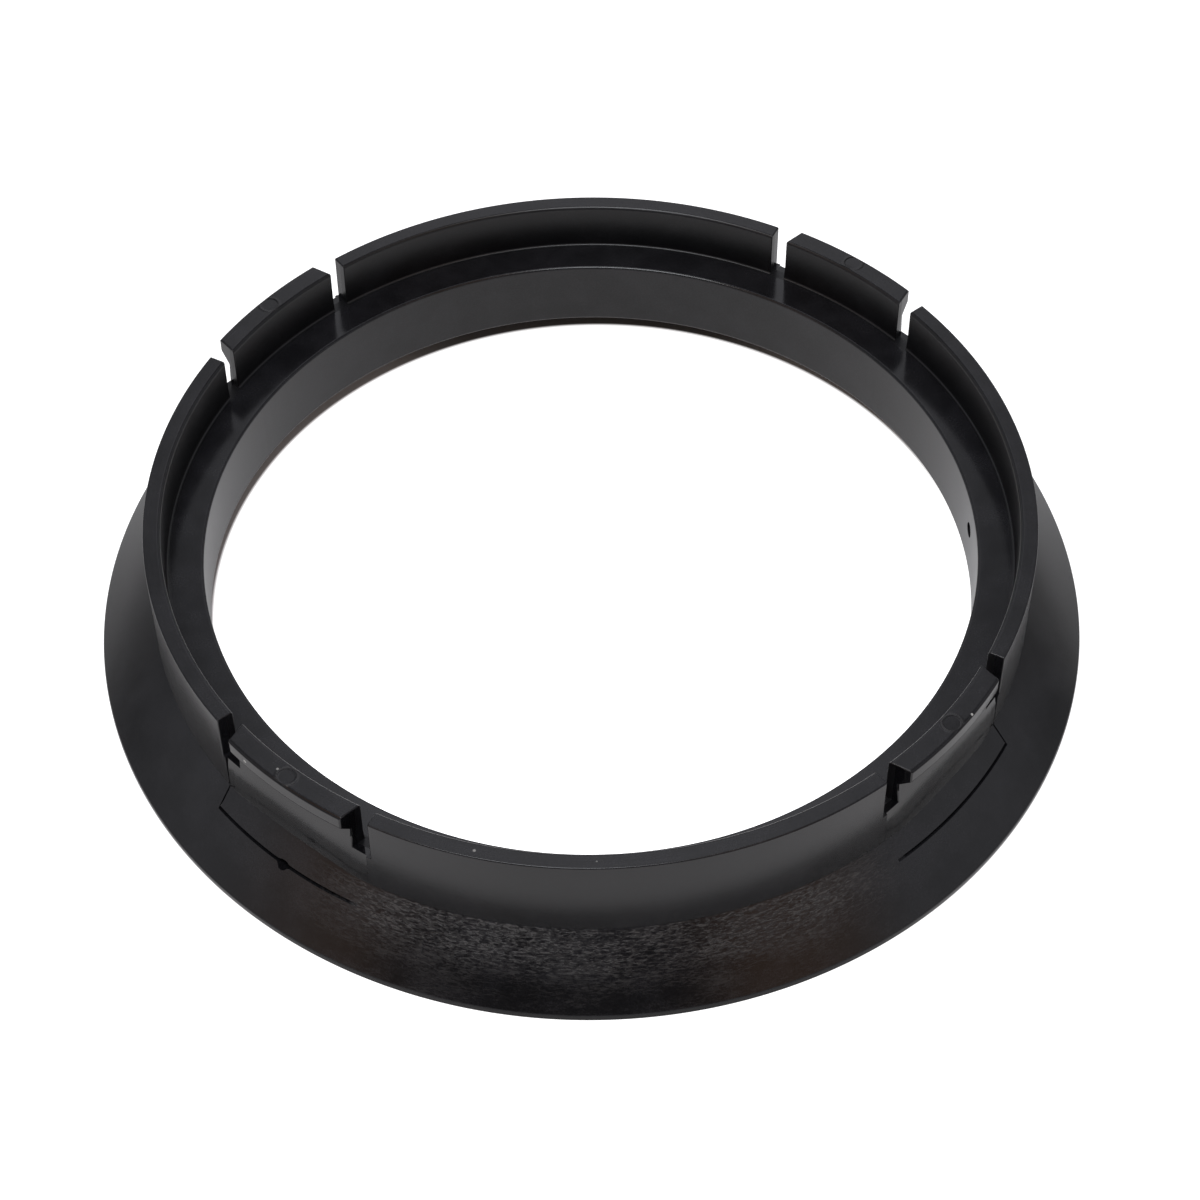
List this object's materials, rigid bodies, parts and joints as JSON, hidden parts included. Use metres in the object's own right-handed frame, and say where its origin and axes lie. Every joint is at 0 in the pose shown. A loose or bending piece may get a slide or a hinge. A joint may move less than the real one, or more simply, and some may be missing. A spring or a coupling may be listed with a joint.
{
  "type": "hub centric ring",
  "caption": "Moulded plastic spacer ring with a hub bore, a cone-backed flange and a slotted collar whose barbed snap tabs hold it in a wheel's centre bore.",
  "frame": {"origin": "on the wheel axis, in the plane of the flange's flat face", "axes": "+Z along the wheel axis, from the flange towards the collar and its snap tabs; the tabs stand on the lines at 45 degrees between X and Y"},
  "size_m": [0.086, 0.086, 0.0139],
  "materials": {
    "black_plastic": "black moulded plastic, satin on the collar and finely mottled on the cone"
  },
  "bodies": {
    "root": {"hub_ring": "black_plastic"}
  },
  "joints": []
}
